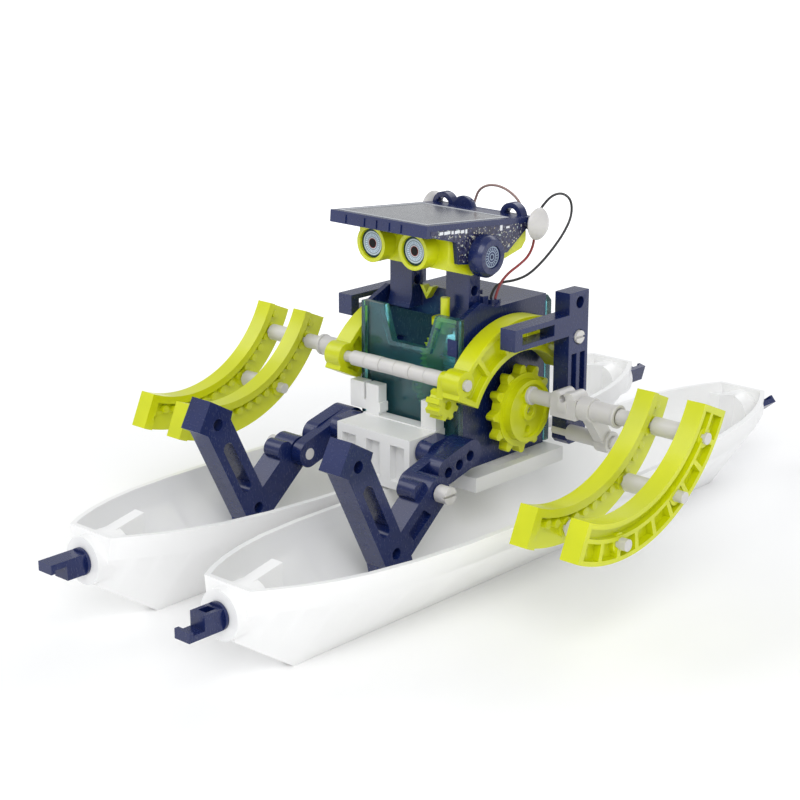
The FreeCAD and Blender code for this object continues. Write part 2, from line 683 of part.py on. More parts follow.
def make_brackets():
    """Navy cross bracket: upright post, forward arm with a slot, and two recessed channels."""
    plate = body("BracketLeft")
    face = "bracket_x + bracket_thick"
    outline = closed([(10.6, 38.2), (12, 36.8), (18.4, 36.8), (20, 38.4), (20, 84), (10.6, 84),
                      (10.6, 77.5), (-15, 77.5), (-15, 71), (10.6, 71)])
    pad(plate, outline, "bracket_x", "bracket_thick")
    pocket(plate, rectangle(-11.5, 72.6, 3.5, 75.9), face, 8)
    for low, high in ((12.2, 14.6), (16.3, 18.7)):
        pocket(plate, rectangle(low, 45.5, high, 65), face, 1.6)
        pocket(plate, rectangle(low, 45.5, high, 65), "bracket_x", 1.6, 1)
    pocket(plate, circle(*rocker_place(), 1.9), face, 8)
    pocket(plate, circle(15.7, 80.6, 1.8), face, 8)
    pocket(plate, circle(*bracket_pin_place(), 1.5), face, 8)
    pocket(plate, circle(*bracket_pin_place(), 2.3), face, 0.6)
    keep(plate, "arm_bracket_left")
    keep(mirror(plate, "BracketRight"), "arm_bracket_right")
    spot = bracket_pin_place()
    shank = cylinder(1.5, 15.2, ("shoulder_x - 0.5", *spot))
    head = cylinder(2, 1.3, (f"{face} - 0.6", *spot))
    slot = block((0.9, 5, 0.7), (f"{face} + 0.1", spot[0] - 2.5, spot[1] - 0.35))
    upper = cut("BracketPin", fuse("BracketPinSolid", [shank, head]), [slot])
    hip_pin = cylinder(1.8, 13.6, (6, "hip_y", "hip_z"))
    at = ("rocker_y", "rocker_z")
    peg = fuse("RockerPeg", [cylinder(1.9, 22.3, ("bracket_x", *at)),
                             cylinder(2.4, 46.6 - size("bracket_x") - size("bracket_thick"), (face, *at))])
    left = [upper, hip_pin, peg]
    pins = left + [mirror(pin, "PinRight") for pin in left]
    keep(group("Part::Compound", "FramePins", pins), "frame_pins")


# ---------------------------------------------------------------- bridge and legs

def make_bridge():
    """White chassis that joins the hulls, carries the gear chamber and holds the hip pins."""
    deck = block((53, 42, 4.5), (-26.5, -21, 27.5))
    nose = block((29.4, 15.8, 16.5), (-14.7, -37.4, 28.6))
    tongue = block((5.2, 40, 9), (-2.6, -20, 18.6))
    tabs = [block((5.2, 3.6, 10.2), (-13.8, -25.6, 44.5)), block((5.6, 3.6, 8.4), (-20.4, -25.6, 46.3)),
            block((8, 3.6, 3), (-16, -25.6, 46.3)), block((6, 3.6, 9.3), (8.6, -25.6, 44.5))]
    shelf = block((29.4, 4.4, 6), (-14.7, -26, 39.4))
    hooks = [block((2, 9, 5.8), (x, y, 22)) for x in (-8.2, 6.2) for y in (-18, 9)]
    solid = fuse("BridgeSolid", [deck, nose, tongue, shelf] + tabs + hooks)
    pockets = [block((5.6, 3, 11), (x, -37.9, 31.2)) for x in (-12.6, -2.8, 7)]
    hip_hole = cylinder(1.8, 40, (-20, "hip_y", "hip_z"))
    deck_slots = [block((6, 16, 8), (x, -8, 26)) for x in (-23.5, 17.5)]
    bridge = cut("Bridge", solid, pockets + deck_slots + [hip_hole])
    keep(bridge, "deck_bridge")


def make_leg():
    hip, knee = (size("hip_y"), size("hip_z")), (size("knee_y"), size("knee_z"))
    rear = (-24.5, 41)
    thigh = body("ThighLeft")
    pad(thigh, capsule(knee, rear, 4.2), 19.9, 3.7)
    pad(thigh, capsule((-35.2, 38.2), rear, 4.2), 23, 4.8)
    pad(thigh, capsule(hip, (-26.2, 41.5), 3.5), 15.2, 4.8)
    pocket(thigh, circle(*knee, 1.8), 24, 5)
    pocket(thigh, circle(*hip, 1.8 + size("run_gap")), 19.9, 5.5)
    for spot in ((-35, 37.8), (-30.2, 39), (-25.4, 40.6)):
        pocket(thigh, circle(*spot, 1.6), 27.8, 4)
    keep(thigh, "thigh_left")
    keep(mirror(thigh, "ThighRight"), "thigh_right")
    foot = body("FootLeft")
    toe, heel = (-77, 51), (-61.8, 20.5)
    pad(foot, capsule(toe, heel, 4.7), "foot_x", "foot_thick")
    pad(foot, closed([(-84.3, 50.2), (-79.6, 58.6), (-71.2, 53.8), (-74.5, 45)]), "foot_x", "foot_thick")
    pad(foot, capsule(knee, (-59.5, 22), 4.6), "foot_x", "foot_thick")
    pad(foot, closed([(-66.4, 21), (-55.4, 19), (-53, 6.4), (-63, 6.4)]), "foot_x", "foot_thick")
    face = "foot_x + foot_thick"
    pocket(foot, capsule((-73.2, 42.8), (-66.6, 29.6), 1.9), face, 10)
    pocket(foot, circle(*toe, 1.8), face, 10)
    pocket(foot, circle(-61.8, 21.6, 1.7), face, 10)
    pocket(foot, circle(*knee, 1.8 + size("run_gap")), face, 10)
    channel = closed([(-50.4, 31.6), (-47.2, 29.2), (-54.6, 23.6), (-56.8, 26.4)])
    pocket(foot, channel, face, 1.6)
    pad(foot, circle(-50.2, 36.4, 3), "foot_x", "foot_thick - 1.5")
    keep(foot, "foot_left")
    keep(mirror(foot, "FootRight"), "foot_right")
    spindle = cylinder(1.8, 13, (19.9, *knee))
    head = cylinder(2.6, 4.2, (32.3, *knee))
    slot = block((1.2, 6, 0.8), (35.6, knee[0] - 3, knee[1] - 0.4))
    pin = cut("KneePin", fuse("KneePinSolid", [spindle, head]), [slot])
    keep(pin, "knee_pin_left")
    keep(mirror(pin, "KneePinRight"), "knee_pin_right")


# ---------------------------------------------------------------- neck and head

def shell_floor():
    """Underside of the head in the YZ plane, front to back."""
    return [(-24, 94), (-13.4, 90.8), (2, 93.6), (9.6, 95.4), (11.6, 97.6)]


def make_neck():
    frame = body("NeckFrame")
    floor = shell_floor()
    rise = (floor[2][1] - floor[1][1]) / (floor[2][0] - floor[1][0])
    back_top = floor[1][1] + rise * (-7.4 - floor[1][0])
    front_top = floor[1][1] + rise * (-12.6 - floor[1][0])
    side = closed([(-14, 77), (-7.4, 77), (-7.4, back_top), (-12.6, front_top), (-12.6, 80.6)])
    pad(frame, rectangle(-7.6, 74.4, -5.2, 83.4), -17.2, 34.4)
    pad(frame, side, 6.8, 9)
    pad(frame, side, -15.8, 9)
    pocket(frame, circle(-10, 85.4, 1.5), 20, 40)
    pad(frame, rectangle(-5.3, 80.5, 2, 82.8), -9, 18)
    keep(frame, "neck_frame")


def make_neck_spindle():
    """Yellow flanged spindle in front of the neck, and the small V piece beside it."""
    disc = cylinder(5, 1.9, (8.6, -13.4, 74.8), "z")
    post = cylinder(1.4, 7.4, (9.4, -15.8, 76), "z")
    foot = cylinder(1.8, 3, (8.6, -13.4, 72), "z")
    wedge = body("NeckWedge")
    pad(wedge, closed([(-5.6, 84), (-3, 80), (-0.4, 84), (-1.8, 84), (-3, 82), (-4.2, 84)]),
        7.65, 2.6, "XZ_Plane")
    keep(group("Part::Compound", "NeckYellow", [fuse("NeckSpindle", [disc, post, foot]), wedge]),
         "neck_spindle")


def tray_top(y):
    """Height of the tray's top plane over a given y."""
    return 108.9 - math.tan(math.radians(size("tray_tilt"))) * (y + 34.9)


def make_head():
    width = 35
    shell = body("HeadShell")
    floor = shell_floor()
    under = [(11.6, tray_top(11.6) - 4.2), (-24, tray_top(-24) - 4.2)]
    pad(shell, closed(floor + under), -width / 2, width)
    hollow = [(-22.4, 95.4), (-13.2, 92.6), (1.8, 95.4), (8.8, 97), (10, 98.4), (10, 106), (-22.4, 108)]
    tubes = [cylinder("eye_dia / 2", 7, (x, -29, "eye_z"), "y") for x in ("eye_x", "-eye_x")]
    hollow_body = body("HeadHollow")
    pad(hollow_body, closed(hollow), -width / 2 + 1.6, width - 3.2)
    seats = [cylinder(4.4, 1.9, (x, -30, "eye_z"), "y") for x in ("eye_x", "-eye_x")]
    ear_hole = cylinder("1.6 + run_gap", 44, (-22, "ear_y", "ear_z"))
    head = cut("Head", fuse("HeadSolid", [shell] + tubes), [hollow_body, ear_hole] + seats)
    keep(head, "head_shell")


def make_tray():
    """Navy tray with a recess for the panel, raised lips and two side skirts."""
    tilt = Rotation(Vector(1, 0, 0), -size("tray_tilt"))
    thick = 3.6
    slab = block(("tray_width", "tray_length", thick), ("-tray_width / 2", 0, -thick))
    recess = block(("tray_width - 3.4", "tray_length - 8.4", 2), ("-tray_width / 2 + 1.7", 1.7, -1.4))
    plate = cut("TrayPlate", slab, [recess])
    place(plate, (0, -34.9, 108.9), tilt)
    skirt = body("TraySkirt")
    profile = closed([(-34.2, tray_top(-34.2) - 3.2), (-22.1, 102.2), (-21.3, 95.7), (-14.2, 94.6),
                      (1.2, 95.8), (10.4, tray_top(10.4) - 3.2)])
    pad(skirt, profile, 17.5, "tray_width / 2 - 17.5")
    pad_left = mirror(skirt, "TraySkirtRight")
    ear_hole = cylinder("1.6 + run_gap", 44, (-22, "ear_y", "ear_z"))
    eye_room = [cylinder("eye_dia / 2 + 0.1", 9, (x, -30, "eye_z"), "y") for x in ("eye_x", "-eye_x")]
    tray = cut("Tray", fuse("TraySolid", [plate, skirt, pad_left]), [ear_hole] + eye_room)
    keep(tray, "solar_tray")
    panel = block(("tray_width - 3.4", "tray_length - 8.4", 1.4), ("-tray_width / 2 + 1.7", 0, 0), tilt)
    lean = math.radians(size("tray_tilt"))
    drop = 1.4
    place(panel, ("-tray_width / 2 + 1.7", -34.9 + 1.7 * math.cos(lean) - drop * math.sin(lean),
                  108.9 - 1.7 * math.sin(lean) - drop * math.cos(lean)), tilt)
    keep(panel, "solar_panel")


def lens_ball(centre):
    ball = doc.addObject("Part::Sphere", "LensBall")
    bind(ball, "Radius", 6.1)
    place(ball, centre)
    return ball


def make_rear_fittings():
    """Rear bar with two arches and a dome, and the two pale lens-shaped caps at its ends."""
    dome_x, dome_radius = -7, 4.1
    bar_top = tray_top(10.8) - 0.2
    rear_y = -34.9 + size("tray_length") * math.cos(math.radians(size("tray_tilt"))) + 0.02
    bar = block((38.4, 2.8, 3.4), (-19.2, rear_y, bar_top - 3.4))
    arches = []
    for x in (-15, 12.2):
        ring = tube(4.2, 2.6, 2.8, (x, rear_y, bar_top - 0.6), "y")
        keep_top = block((12, 6, 6), (x - 6, rear_y - 1, bar_top - 0.6))
        half = doc.addObject("Part::Common", "Arch")
        half.Base = ring
        half.Tool = keep_top
        arches.append(half)
    ball = doc.addObject("Part::Sphere", "DomeBall")
    bind(ball, "Radius", dome_radius)
    place(ball, (dome_x, rear_y + 0.6, bar_top - 0.8))
    dome = doc.addObject("Part::Common", "Dome")
    dome.Base = ball
    dome.Tool = block((12, 2.8, 6), (dome_x - 6, rear_y, bar_top - 0.6))
    keep(fuse("RearFittings", [bar, dome] + arches), "rear_arches")
    caps = []
    for sign in (-1, 1):
        cap = doc.addObject("Part::Common", "CapLens")
        cap.Base, cap.Tool = [lens_ball((sign * x, 13, 102.8)) for x in (17.5, 24.6)]
        flat = block((6, 12, 12), (13.2 if sign > 0 else -19.2, 7, 98))
        caps.append(cut("Cap", cap, [flat]))
    keep(group("Part::Compound", "Caps", caps), "ball_caps")


def make_ear():
    rim = cylinder("ear_dia / 2", 2.6, (19.5, "ear_y", "ear_z"))
    bevel = doc.addObject("Part::Cone", "EarBevel")
    bind(bevel, "Radius1", "ear_dia / 2")
    bind(bevel, "Radius2", "ear_dia / 2 - 1.2")
    bind(bevel, "Height", 1.6)
    place(bevel, (22.1, "ear_y", "ear_z"), ALONG["x"])
    spindle = cylinder(1.6, 4.2, (15.6, "ear_y", "ear_z"))
    seat = cylinder(3.4, 0.8, (23.1, "ear_y", "ear_z"))
    left = cut("EarLeft", fuse("EarSolid", [rim, bevel, spindle]), [seat])
    keep(left, "ear_left")
    keep(mirror(left, "EarRight"), "ear_right")


# ---------------------------------------------------------------- wires

BLACK_ROUTE = [(13.2, 0.7, 81), (13.3, 1.7, 83.8), (14.2, 4.6, 85.3), (15.4, 9.2, 85.2),
               (16.6, 14.2, 86.2), (17.2, 19.9, 89.2), (17.4, 25.6, 93), (17.2, 31, 97),
               (17, 34.8, 101.4), (17, 34.6, 106.4), (17.2, 30, 109.4), (17.4, 24.4, 109.6),
               (17.4, 19.6, 107), (17.4, 16.4, 103.8), (17.4, 13.57, 102.9)]
RED_ROUTE = [(14.9, 0.7, 81), (15.1, 1.9, 84.8), (15.6, 5.6, 88), (16, 10.4, 89.8), (16.2, 15, 92),
             (16, 17.8, 96), (15.6, 17.6, 100.2), (15.4, 15.8, 102.8), (15.4, 13.57, 103.2)]
LOOP_ROUTE = [(-7, 13.57, 103), (-7, 15.6, 103.2), (-6.8, 16.6, 106), (-5, 16.2, 109.6),
              (-0.6, 15.6, 111.8), (4.8, 15.6, 111.8), (9.8, 16, 109.4), (12, 16.6, 106),
              (12.2, 15.6, 103.2), (12.2, 13.57, 103)]


def make_wire(route, label):
    """A round wire along straight runs joined by tangent arcs; prints its radii and volume."""
    points = [Vector(*point) for point in route]
    edges = []
    radii = []
    start = points[0]
    for before, corner, after in zip(points, points[1:], points[2:]):
        arriving, leaving = corner - before, after - corner
        turn = arriving.getAngle(leaving)
        reach = 0.45 * min(arriving.Length, leaving.Length)
        radius = reach / math.tan(turn / 2)
        arriving.normalize()
        leaving.normalize()
        entry, exit_point = corner - arriving * reach, corner + leaving * reach
        to_centre = (leaving - arriving).normalize() * (radius / math.cos(turn / 2))
        middle = corner + to_centre - (leaving - arriving).normalize() * radius
        edges.append(Part.LineSegment(start, entry).toShape())
        edges.append(Part.Arc(entry, middle, exit_point).toShape())
        radii.append(radius)
        start = exit_point
    edges.append(Part.LineSegment(start, points[-1]).toShape())
    path = Part.Wire(edges)
    heading = points[1] - points[0]
    section = Part.Wire(Part.makeCircle(size("wire_dia") / 2, points[0], heading))
    item = doc.addObject("Part::Feature", label)
    item.Shape = path.makePipeShell([section], True, True)
    expected = math.pi * size("wire_dia") ** 2 / 4 * path.Length
    print(label, "length %.1f" % path.Length, "radii", ["%.1f" % radius for radius in radii],
          "volume ratio %.4f" % (item.Shape.Volume / expected))
    return keep(item, label)


# ---------------------------------------------------------------- build

make_hull(1, "hull_left")
make_hull(-1, "hull_right")
make_clip("bow_clip_left", 1, -1, 0)
make_clip("bow_clip_right", -1, -1, 180)
make_clip("stern_clip_left", 1, 1, 40)
make_clip("stern_clip_right", -1, 1, 75)
make_bridge()
make_chamber()
make_covers()
make_bushes()
make_gear_train()
left_crank = make_crank("crank_disc_left")
keep(mirror(left_crank, "CrankRight"), "crank_disc_right")
make_crank_pins()
make_connector()
make_link_arm()
make_oar_sleeves()
for blade_label, blade_x, stud_side in (
        ("oar_inner_left", size("blade_inner_x"), 1),
        ("oar_outer_left", size("blade_outer_x"), -1),
        ("oar_inner_right", -size("blade_inner_x") - size("arc_thick"), 1),
        ("oar_outer_right", -size("blade_outer_x") - size("arc_thick"), 1)):
    make_blade(blade_label, blade_x, stud_side)
make_oar_pins()
make_shoulder()
make_front_bar()
make_brackets()
make_leg()
make_neck()
make_neck_spindle()
make_head()
make_tray()
make_rear_fittings()
make_ear()
make_wire(BLACK_ROUTE, "wire_black")
make_wire(RED_ROUTE, "wire_red")
make_wire(LOOP_ROUTE, "wire_loop")

doc.recompute()

# ---------------------------------------------------------------- checks and export

for item in doc.Objects:
    if "Invalid" in item.State or "Error" in item.State:
        raise RuntimeError(f"{item.Name} ({item.Label}) failed: {item.State}")
    if item.TypeId == "PartDesign::Pocket":
        if item.Shape.Volume > item.BaseFeature.Shape.Volume - 0.01:
            raise RuntimeError(f"{item.Name} cuts nothing")
labels = [item.Label for item in kept]
if len(set(labels)) != len(labels) or len(labels) > 60:
    raise RuntimeError(f"{len(labels)} labels, {len(set(labels))} different")
for item in kept:
    if item.Shape.isNull() or not item.Shape.isValid() or not item.Shape.Solids:
        raise RuntimeError(f"{item.Label} is not a valid solid")
    item.Shape.exportStep(f"parts/{item.Label}.step")
print(len(kept), "sub-parts")
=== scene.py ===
"""Looks of the rowing robot kit: moulded plastics, tinted covers, stickers, panel and wires.

The scene is in metres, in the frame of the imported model: -Y is the bow, +X the robot's left. Places
on the object are written in mm and scaled by MM.
"""

import json
import math

import bmesh
import bpy
from mathutils import Matrix, Vector


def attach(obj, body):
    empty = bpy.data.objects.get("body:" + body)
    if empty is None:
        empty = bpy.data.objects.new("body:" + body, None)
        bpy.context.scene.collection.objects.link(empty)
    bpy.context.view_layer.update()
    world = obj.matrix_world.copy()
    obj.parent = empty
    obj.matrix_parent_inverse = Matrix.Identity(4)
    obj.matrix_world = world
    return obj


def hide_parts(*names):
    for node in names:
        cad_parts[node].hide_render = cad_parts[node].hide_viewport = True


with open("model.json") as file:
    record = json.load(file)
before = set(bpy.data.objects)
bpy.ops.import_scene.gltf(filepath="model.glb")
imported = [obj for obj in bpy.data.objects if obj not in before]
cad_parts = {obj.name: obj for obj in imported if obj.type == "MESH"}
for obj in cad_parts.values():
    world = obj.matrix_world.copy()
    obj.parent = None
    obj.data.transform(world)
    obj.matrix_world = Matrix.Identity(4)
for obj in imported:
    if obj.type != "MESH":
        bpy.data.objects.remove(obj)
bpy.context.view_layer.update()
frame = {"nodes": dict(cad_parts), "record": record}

NODES = frame["nodes"]
MM = 0.001


# ---------------------------------------------------------------- materials

def new_material(name):
    """A material with an empty node tree but for its output and one principled shader."""
    material = bpy.data.materials.new(name)
    material.use_nodes = True
    tree = material.node_tree
    tree.nodes.clear()
    output = tree.nodes.new("ShaderNodeOutputMaterial")
    shader = tree.nodes.new("ShaderNodeBsdfPrincipled")
    tree.links.new(shader.outputs["BSDF"], output.inputs["Surface"])
    return material, tree, shader


def coordinates(tree):
    """The object's own coordinates, which move with it."""
    return tree.nodes.new("ShaderNodeTexCoord").outputs["Object"]


def noise(tree, scale, detail, stretch=None):
    """Noise over the object's own coordinates; stretch squeezes it along the three axes."""
    texture = tree.nodes.new("ShaderNodeTexNoise")
    texture.inputs["Scale"].default_value = scale
    texture.inputs["Detail"].default_value = detail
    source = coordinates(tree)
    if stretch:
        mapping = tree.nodes.new("ShaderNodeMapping")
        mapping.inputs["Scale"].default_value = stretch
        tree.links.new(source, mapping.inputs["Vector"])
        source = mapping.outputs["Vector"]
    tree.links.new(source, texture.inputs["Vector"])
    return texture.outputs["Fac"]


def spread(tree, value, low, high, start=0.35, end=0.65):
    """Maps a value between start and end, by default the middle of a noise, to low and high."""
    node = tree.nodes.new("ShaderNodeMapRange")
    node.inputs["From Min"].default_value = start
    node.inputs["From Max"].default_value = end
    node.inputs["To Min"].default_value = low
    node.inputs["To Max"].default_value = high
    tree.links.new(value, node.inputs["Value"])
    return node.outputs["Result"]


def blend_colours(tree, factor, first, second):
    """Mixes two colours, each a fixed one or the output of a node."""
    node = tree.nodes.new("ShaderNodeMix")
    node.data_type = "RGBA"
    tree.links.new(factor, node.inputs["Factor"])
    for socket, colour in ((node.inputs[6], first), (node.inputs[7], second)):
        if isinstance(colour, tuple):
            socket.default_value = (*colour, 1)
        else:
            tree.links.new(colour, socket)
    return node.outputs[2]


def bump(tree, shader, height, strength, distance):
    node = tree.nodes.new("ShaderNodeBump")
    node.inputs["Strength"].default_value = strength
    node.inputs["Distance"].default_value = distance
    tree.links.new(height, node.inputs["Height"])
    tree.links.new(node.outputs["Normal"], shader.inputs["Normal"])


def moulded(name, light, dark, rough, gloss=0.0, glow=0.0):
    """Moulded plastic: slow flow marks in the colour, fine scuffs in the gloss, a faint skin texture."""
    material, tree, shader = new_material(name)
    flow = spread(tree, noise(tree, 55, 2, (1, 0.45, 1.4)), 0, 1, 0.3, 0.7)
    tree.links.new(blend_colours(tree, flow, dark, light), shader.inputs["Base Color"])
    scuff = spread(tree, noise(tree, 900, 4, (1, 3, 1)), rough - 0.015, rough + 0.03)
    tree.links.new(scuff, shader.inputs["Roughness"])
    shader.inputs["Coat Weight"].default_value = gloss
    shader.inputs["Coat Roughness"].default_value = 0.12
    shader.inputs["Subsurface Weight"].default_value = glow
    shader.inputs["Subsurface Radius"].default_value = (0.0016, 0.0016, 0.0010)
    shader.inputs["Subsurface Scale"].default_value = 0.8
    bump(tree, shader, noise(tree, 1400, 2), 0.006, 0.00003)
    return material


def tinted(name, colour, rough):
    """Clear tinted cover plastic with a slight haze."""
    material, tree, shader = new_material(name)
    shader.inputs["Base Color"].default_value = (*colour, 1)
    haze = spread(tree, noise(tree, 300, 3), rough, rough + 0.07)
    tree.links.new(haze, shader.inputs["Roughness"])
    shader.inputs["Transmission Weight"].default_value = 0.92
    shader.inputs["IOR"].default_value = 1.46
    bump(tree, shader, noise(tree, 120, 2), 0.15, 0.0001)
    return material


def metal(name, colour, rough):
    """Bright drawn steel with fine lines along X."""
    material, tree, shader = new_material(name)
    lines = noise(tree, 2600, 3, (0.05, 1, 1))
    tone = spread(tree, lines, 0, 1)
    tree.links.new(blend_colours(tree, tone, tuple(c * 0.82 for c in colour), colour),
                   shader.inputs["Base Color"])
    tree.links.new(spread(tree, lines, rough, rough + 0.14), shader.inputs["Roughness"])
    shader.inputs["Metallic"].default_value = 1
    return material


def rings(name, centre, axis, stops, spokes, band, spoke_colour):
    """A printed round sticker: colour by distance from the centre, in mm, with a band of ticks."""
    material, tree, shader = new_material(name)
    shift = tree.nodes.new("ShaderNodeVectorMath")
    shift.operation = "SUBTRACT"
    shift.inputs[1].default_value = centre
    tree.links.new(coordinates(tree), shift.inputs[0])
    flat = tree.nodes.new("ShaderNodeVectorMath")
    flat.operation = "MULTIPLY"
    flat.inputs[1].default_value = tuple(0 if i == axis else 1 / MM for i in range(3))
    tree.links.new(shift.outputs["Vector"], flat.inputs[0])
    length = tree.nodes.new("ShaderNodeVectorMath")
    length.operation = "LENGTH"
    tree.links.new(flat.outputs["Vector"], length.inputs[0])
    reach = stops[-1][0]
    share = tree.nodes.new("ShaderNodeMath")
    share.operation = "DIVIDE"
    share.inputs[1].default_value = reach
    tree.links.new(length.outputs["Value"], share.inputs[0])
    ramp = tree.nodes.new("ShaderNodeValToRGB")
    ramp.color_ramp.interpolation = "CONSTANT"
    elements = ramp.color_ramp.elements
    elements[0].color = (*stops[0][1], 1)
    elements[1].position = stops[0][0] / reach
    elements[1].color = (*stops[1][1], 1)
    for (before, _), (_, colour) in zip(stops[1:], stops[2:]):
        element = elements.new(before / reach)
        element.color = (*colour, 1)
    tree.links.new(share.outputs["Value"], ramp.inputs["Fac"])
    tree.links.new(spread(tree, noise(tree, 700, 3), 0.34, 0.46), shader.inputs["Roughness"])
    shader.inputs["Specular IOR Level"].default_value = 0.18
    ticks = add_ticks(tree, flat.outputs["Vector"], length.outputs["Value"], axis, spokes, band)
    tree.links.new(blend_colours(tree, ticks, ramp.outputs["Color"], spoke_colour),
                   shader.inputs["Base Color"])
    return material


def add_ticks(tree, flat, length, axis, count, band):
    """A mask of radial ticks between the two radii of a band."""
    split = tree.nodes.new("ShaderNodeSeparateXYZ")
    tree.links.new(flat, split.inputs[0])
    first, second = [i for i in range(3) if i != axis]
    angle = tree.nodes.new("ShaderNodeMath")
    angle.operation = "ARCTAN2"
    tree.links.new(split.outputs[first], angle.inputs[0])
    tree.links.new(split.outputs[second], angle.inputs[1])
    turns = tree.nodes.new("ShaderNodeMath")
    turns.operation = "MULTIPLY"
    turns.inputs[1].default_value = count
    tree.links.new(angle.outputs[0], turns.inputs[0])
    wave = tree.nodes.new("ShaderNodeMath")
    wave.operation = "SINE"
    tree.links.new(turns.outputs[0], wave.inputs[0])
    mask = None
    for value, kind, limit in ((wave.outputs[0], "GREATER_THAN", 0.25), (length, "GREATER_THAN", band[0]),
                               (length, "LESS_THAN", band[1])):
        test = tree.nodes.new("ShaderNodeMath")
        test.operation = kind
        test.inputs[1].default_value = limit
        tree.links.new(value, test.inputs[0])
        if mask is None:
            mask = test.outputs[0]
        else:
            both = tree.nodes.new("ShaderNodeMath")
            both.operation = "MULTIPLY"
            tree.links.new(mask, both.inputs[0])
            tree.links.new(test.outputs[0], both.inputs[1])
            mask = both.outputs[0]
    return mask


def circuit(name):
    """Dark sticker with a fine printed pattern of cells and pale specks."""
    material, tree, shader = new_material(name)
    cells = tree.nodes.new("ShaderNodeTexVoronoi")
    cells.distance = "CHEBYCHEV"
    cells.inputs["Scale"].default_value = 850
    tree.links.new(coordinates(tree), cells.inputs["Vector"])
    tone = spread(tree, cells.outputs["Distance"], 0, 1, 0.15, 0.55)
    base = blend_colours(tree, tone, (0.045, 0.05, 0.12), (0.013, 0.013, 0.05))
    tint = tree.nodes.new("ShaderNodeMath")
    tint.operation = "GREATER_THAN"
    tint.inputs[1].default_value = 0.63
    tree.links.new(noise(tree, 1500, 1), tint.inputs[0])
    specks = blend_colours(tree, noise(tree, 420, 1), (0.75, 0.55, 0.25), (0.22, 0.45, 0.62))
    tree.links.new(blend_colours(tree, tint.outputs[0], base, specks), shader.inputs["Base Color"])
    tree.links.new(spread(tree, noise(tree, 700, 3), 0.2, 0.34), shader.inputs["Roughness"])
    return material


def solar_cells(name):
    """Dark silicon under clear resin with fine pale collector lines across it."""
    material, tree, shader = new_material(name)
    lines = tree.nodes.new("ShaderNodeTexWave")
    lines.wave_type = "BANDS"
    lines.bands_direction = "X"
    lines.inputs["Scale"].default_value = 320
    tree.links.new(coordinates(tree), lines.inputs["Vector"])
    edge = spread(tree, lines.outputs["Fac"], 0, 1, 0.93, 0.99)
    body_colour = blend_colours(tree, spread(tree, noise(tree, 200, 4), 0, 1), (0.10, 0.105, 0.125),
                                (0.135, 0.14, 0.16))
    tree.links.new(blend_colours(tree, edge, body_colour, (0.24, 0.25, 0.27)),
                   shader.inputs["Base Color"])
    tree.links.new(spread(tree, noise(tree, 500, 3), 0.22, 0.3), shader.inputs["Roughness"])
    shader.inputs["Coat Weight"].default_value = 0.6
    shader.inputs["Coat Roughness"].default_value = 0.16
    return material


WHITE = moulded("hull_white", (0.935, 0.933, 0.93), (0.915, 0.914, 0.91), 0.3, 0.12)
CHASSIS = moulded("chassis_white", (0.83, 0.83, 0.825), (0.78, 0.78, 0.775), 0.36, 0.1, 0.05)
PIN = moulded("pin_white", (0.66, 0.645, 0.63), (0.585, 0.57, 0.56), 0.36, 0.1, 0.1)
NAVY = moulded("navy", (0.007, 0.018, 0.100), (0.005, 0.012, 0.075), 0.25, 0.08)
YELLOW = moulded("lime_yellow", (0.66, 0.70, 0.003), (0.57, 0.62, 0.002), 0.32, 0.2, 0.06)
COVER = tinted("cover_teal", (0.22, 0.62, 0.68), 0.05)
LIME = moulded("gear_lime", (0.50, 0.66, 0.02), (0.42, 0.58, 0.015), 0.38, 0, 0.05)
STEEL = metal("steel", (0.78, 0.79, 0.80), 0.2)
RED = moulded("wire_red", (0.36, 0.05, 0.055), (0.27, 0.035, 0.04), 0.4)
FADED_RED = moulded("wire_faded", (0.33, 0.22, 0.20), (0.26, 0.17, 0.16), 0.4)
BLACK = moulded("wire_black", (0.035, 0.035, 0.037), (0.018, 0.018, 0.02), 0.4)
CIRCUIT = circuit("circuit_sticker")
PRINT = moulded("printed_bars", (0.80, 0.82, 0.86), (0.74, 0.76, 0.80), 0.3)
CELLS = solar_cells("solar_cells")
SILVER = moulded("silver_foil", (0.62, 0.64, 0.67), (0.52, 0.54, 0.57), 0.36)

SLOTS = {
    "hull_white": WHITE, "chassis_white": CHASSIS, "pin_white": PIN, "navy": NAVY, "yellow": YELLOW,
    "cover_teal": COVER, "gear_plastic": LIME, "steel": STEEL, "panel_dark": CELLS,
    "wire_red": RED, "wire_black": BLACK,
}


# ---------------------------------------------------------------- CAD nodes

def soften(item, width):
    """Joins the split edges of a CAD mesh and rounds its sharp ones a little."""
    weld = item.modifiers.new("Weld", "WELD")
    weld.merge_threshold = 0.000002
    if width:
        bevel = item.modifiers.new("Edges", "BEVEL")
        bevel.width = width
        bevel.segments = 2
        bevel.limit_method = "ANGLE"
        bevel.angle_limit = math.radians(40)
        bevel.use_clamp_overlap = True
    normals = item.modifiers.new("Normals", "WEIGHTED_NORMAL")
    normals.keep_sharp = True
    normals.weight = 60
    for polygon in item.data.polygons:
        polygon.use_smooth = True


# Width of the rounded edges in metres, by the start of a node's name.
PLAIN_EDGE = 0.0002
EDGE_WIDTH = {"hull": 0.00035, "deck": 0.0004, "foot": 0.00045, "thigh": 0.0004, "solar_tray": 0.0003,
              "head": 0.0005, "arm": 0.0004, "gear_chamber": 0.0003}


def dress_cad():
    for entry in frame["record"]["subparts"]:
        item = NODES[entry["node"]]
        item.data.materials.clear()
        item.data.materials.append(SLOTS[entry["material_slot"]])
        widths = [w for start, w in EDGE_WIDTH.items() if entry["node"].startswith(start)]
        soften(item, widths[0] if widths else PLAIN_EDGE)


dress_cad()


# ---------------------------------------------------------------- helpers for new pieces

DISC_SEGMENTS = 64


